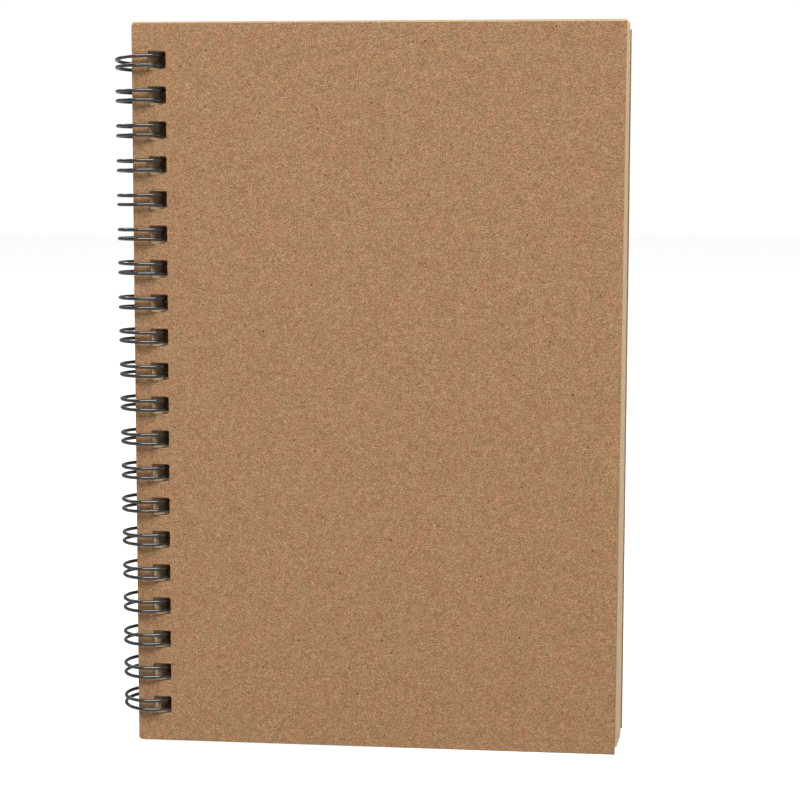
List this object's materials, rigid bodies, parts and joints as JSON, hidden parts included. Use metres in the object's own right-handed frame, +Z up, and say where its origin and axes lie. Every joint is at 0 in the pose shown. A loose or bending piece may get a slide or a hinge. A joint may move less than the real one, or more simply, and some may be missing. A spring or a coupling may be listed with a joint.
{
  "type": "sketchbook",
  "caption": "Upright pocket sketchbook: plain kraft-board covers and punched cream leaves hinged on a black twin-loop wire binding, standing slightly open.",
  "frame": {"origin": "centre of the footprint, on the surface that the book stands on", "axes": "+Z up along the binding; +X from the binding to the fore edge; -Y towards the front cover"},
  "size_m": [0.1281, 0.0247, 0.1801],
  "materials": {
    "kraft_board": "uncoated brown kraft board, mottled, with fine light and dark fibres and a few bright flecks",
    "paper": "uncoated cream drawing paper, matt",
    "coated_wire": "satin black coating on round steel wire"
  },
  "bodies": {
    "back_cover": {"back_cover": "kraft_board"},
    "front_cover": {"front_cover": "kraft_board"},
    "binding_wire": {"binding_wire": "coated_wire"},
    "leaf_01": {"leaf_01": "paper"},
    "leaf_02": {"leaf_02": "paper"},
    "leaf_03": {"leaf_03": "paper"},
    "leaf_04": {"leaf_04": "paper"},
    "leaf_05": {"leaf_05": "paper"},
    "leaf_06": {"leaf_06": "paper"},
    "leaf_07": {"leaf_07": "paper"},
    "leaf_08": {"leaf_08": "paper"},
    "leaf_09": {"leaf_09": "paper"},
    "leaf_10": {"leaf_10": "paper"},
    "leaf_11": {"leaf_11": "paper"},
    "leaf_12": {"leaf_12": "paper"},
    "leaf_13": {"leaf_13": "paper"},
    "leaf_14": {"leaf_14": "paper"},
    "leaf_15": {"leaf_15": "paper"},
    "leaf_16": {"leaf_16": "paper"},
    "leaf_17": {"leaf_17": "paper"},
    "leaf_18": {"leaf_18": "paper"},
    "leaf_19": {"leaf_19": "paper"},
    "leaf_20": {"leaf_20": "paper"},
    "leaf_21": {"leaf_21": "paper"},
    "leaf_22": {"leaf_22": "paper"},
    "leaf_23": {"leaf_23": "paper"},
    "leaf_24": {"leaf_24": "paper"}
  },
  "joints": [
    {"name": "pages_fan", "type": "hinge", "parent": "back_cover", "child": "leaf_01", "pos_m": [-0.05702, 0.00435, 0.09], "axis": [0, 0, -1], "range_deg": [-6.9, 14]},
    {"name": "leaf_02_turn", "type": "hinge", "parent": "back_cover", "child": "leaf_02", "pos_m": [-0.05702, 0.00435, 0.09], "axis": [0, 0, -1], "range_deg": [-6.88, 13.93]},
    {"name": "leaf_03_turn", "type": "hinge", "parent": "back_cover", "child": "leaf_03", "pos_m": [-0.05702, 0.00435, 0.09], "axis": [0, 0, -1], "range_deg": [-6.78, 13.74]},
    {"name": "leaf_04_turn", "type": "hinge", "parent": "back_cover", "child": "leaf_04", "pos_m": [-0.05702, 0.00435, 0.09], "axis": [0, 0, -1], "range_deg": [-6.61, 13.39]},
    {"name": "leaf_05_turn", "type": "hinge", "parent": "back_cover", "child": "leaf_05", "pos_m": [-0.05702, 0.00435, 0.09], "axis": [0, 0, -1], "range_deg": [-6.39, 12.94]},
    {"name": "leaf_06_turn", "type": "hinge", "parent": "back_cover", "child": "leaf_06", "pos_m": [-0.05702, 0.00435, 0.09], "axis": [0, 0, -1], "range_deg": [-6.18, 12.52]},
    {"name": "leaf_07_turn", "type": "hinge", "parent": "back_cover", "child": "leaf_07", "pos_m": [-0.05702, 0.00435, 0.09], "axis": [0, 0, -1], "range_deg": [-6.03, 12.22]},
    {"name": "leaf_08_turn", "type": "hinge", "parent": "back_cover", "child": "leaf_08", "pos_m": [-0.05702, 0.00435, 0.09], "axis": [0, 0, -1], "range_deg": [-5.96, 12.07]},
    {"name": "leaf_09_turn", "type": "hinge", "parent": "back_cover", "child": "leaf_09", "pos_m": [-0.05702, 0.00435, 0.09], "axis": [0, 0, -1], "range_deg": [-5.92, 12]},
    {"name": "leaf_10_turn", "type": "hinge", "parent": "back_cover", "child": "leaf_10", "pos_m": [-0.05702, 0.00435, 0.09], "axis": [0, 0, -1], "range_deg": [-5.87, 11.88]},
    {"name": "leaf_11_turn", "type": "hinge", "parent": "back_cover", "child": "leaf_11", "pos_m": [-0.05702, 0.00435, 0.09], "axis": [0, 0, -1], "range_deg": [-5.75, 11.64]},
    {"name": "leaf_12_turn", "type": "hinge", "parent": "back_cover", "child": "leaf_12", "pos_m": [-0.05702, 0.00435, 0.09], "axis": [0, 0, -1], "range_deg": [-5.55, 11.24]},
    {"name": "leaf_13_turn", "type": "hinge", "parent": "back_cover", "child": "leaf_13", "pos_m": [-0.05702, 0.00435, 0.09], "axis": [0, 0, -1], "range_deg": [-5.33, 10.79]},
    {"name": "leaf_14_turn", "type": "hinge", "parent": "back_cover", "child": "leaf_14", "pos_m": [-0.05702, 0.00435, 0.09], "axis": [0, 0, -1], "range_deg": [-5.14, 10.4]},
    {"name": "leaf_15_turn", "type": "hinge", "parent": "back_cover", "child": "leaf_15", "pos_m": [-0.05702, 0.00435, 0.09], "axis": [0, 0, -1], "range_deg": [-5.02, 10.16]},
    {"name": "leaf_16_turn", "type": "hinge", "parent": "back_cover", "child": "leaf_16", "pos_m": [-0.05702, 0.00435, 0.09], "axis": [0, 0, -1], "range_deg": [-4.96, 10.04]},
    {"name": "leaf_17_turn", "type": "hinge", "parent": "back_cover", "child": "leaf_17", "pos_m": [-0.05702, 0.00435, 0.09], "axis": [0, 0, -1], "range_deg": [-4.92, 9.97]},
    {"name": "leaf_18_turn", "type": "hinge", "parent": "back_cover", "child": "leaf_18", "pos_m": [-0.05702, 0.00435, 0.09], "axis": [0, 0, -1], "range_deg": [-4.85, 9.82]},
    {"name": "leaf_19_turn", "type": "hinge", "parent": "back_cover", "child": "leaf_19", "pos_m": [-0.05702, 0.00435, 0.09], "axis": [0, 0, -1], "range_deg": [-4.7, 9.52]},
    {"name": "leaf_20_turn", "type": "hinge", "parent": "back_cover", "child": "leaf_20", "pos_m": [-0.05702, 0.00435, 0.09], "axis": [0, 0, -1], "range_deg": [-4.49, 9.1]},
    {"name": "leaf_21_turn", "type": "hinge", "parent": "back_cover", "child": "leaf_21", "pos_m": [-0.05702, 0.00435, 0.09], "axis": [0, 0, -1], "range_deg": [-4.27, 8.65]},
    {"name": "leaf_22_turn", "type": "hinge", "parent": "back_cover", "child": "leaf_22", "pos_m": [-0.05702, 0.00435, 0.09], "axis": [0, 0, -1], "range_deg": [-4.1, 8.3]},
    {"name": "leaf_23_turn", "type": "hinge", "parent": "back_cover", "child": "leaf_23", "pos_m": [-0.05702, 0.00435, 0.09], "axis": [0, 0, -1], "range_deg": [-4, 8.11]},
    {"name": "leaf_24_turn", "type": "hinge", "parent": "back_cover", "child": "leaf_24", "pos_m": [-0.05702, 0.00435, 0.09], "axis": [0, 0, -1], "range_deg": [-3.96, 8.02]},
    {"name": "front_cover_open", "type": "hinge", "parent": "leaf_01", "child": "front_cover", "pos_m": [-0.05702, 0.00435, 0.09], "axis": [0, 0, -1], "range_deg": [-1.1, 168]},
    {"name": "wire_roll", "type": "hinge", "parent": "back_cover", "child": "binding_wire", "pos_m": [-0.05702, 0.00435, 0.09], "axis": [0, 0, -1], "range_deg": [-38, 20]}
  ],
  "couplings": [
    {"joint": "leaf_02_turn", "follows": "pages_fan", "ratio": 0.99383},
    {"joint": "leaf_03_turn", "follows": "pages_fan", "ratio": 0.97975},
    {"joint": "leaf_04_turn", "follows": "pages_fan", "ratio": 0.95486},
    {"joint": "leaf_05_turn", "follows": "pages_fan", "ratio": 0.92314},
    {"joint": "leaf_06_turn", "follows": "pages_fan", "ratio": 0.8929},
    {"joint": "leaf_07_turn", "follows": "pages_fan", "ratio": 0.8715},
    {"joint": "leaf_08_turn", "follows": "pages_fan", "ratio": 0.86071},
    {"joint": "leaf_09_turn", "follows": "pages_fan", "ratio": 0.85553},
    {"joint": "leaf_10_turn", "follows": "pages_fan", "ratio": 0.84744},
    {"joint": "leaf_11_turn", "follows": "pages_fan", "ratio": 0.82973},
    {"joint": "leaf_12_turn", "follows": "pages_fan", "ratio": 0.80182},
    {"joint": "leaf_13_turn", "follows": "pages_fan", "ratio": 0.7696},
    {"joint": "leaf_14_turn", "follows": "pages_fan", "ratio": 0.7417},
    {"joint": "leaf_15_turn", "follows": "pages_fan", "ratio": 0.72399},
    {"joint": "leaf_16_turn", "follows": "pages_fan", "ratio": 0.7159},
    {"joint": "leaf_17_turn", "follows": "pages_fan", "ratio": 0.71072},
    {"joint": "leaf_18_turn", "follows": "pages_fan", "ratio": 0.69993},
    {"joint": "leaf_19_turn", "follows": "pages_fan", "ratio": 0.67853},
    {"joint": "leaf_20_turn", "follows": "pages_fan", "ratio": 0.64828},
    {"joint": "leaf_21_turn", "follows": "pages_fan", "ratio": 0.61657},
    {"joint": "leaf_22_turn", "follows": "pages_fan", "ratio": 0.59168},
    {"joint": "leaf_23_turn", "follows": "pages_fan", "ratio": 0.5776},
    {"joint": "leaf_24_turn", "follows": "pages_fan", "ratio": 0.57143}
  ]
}
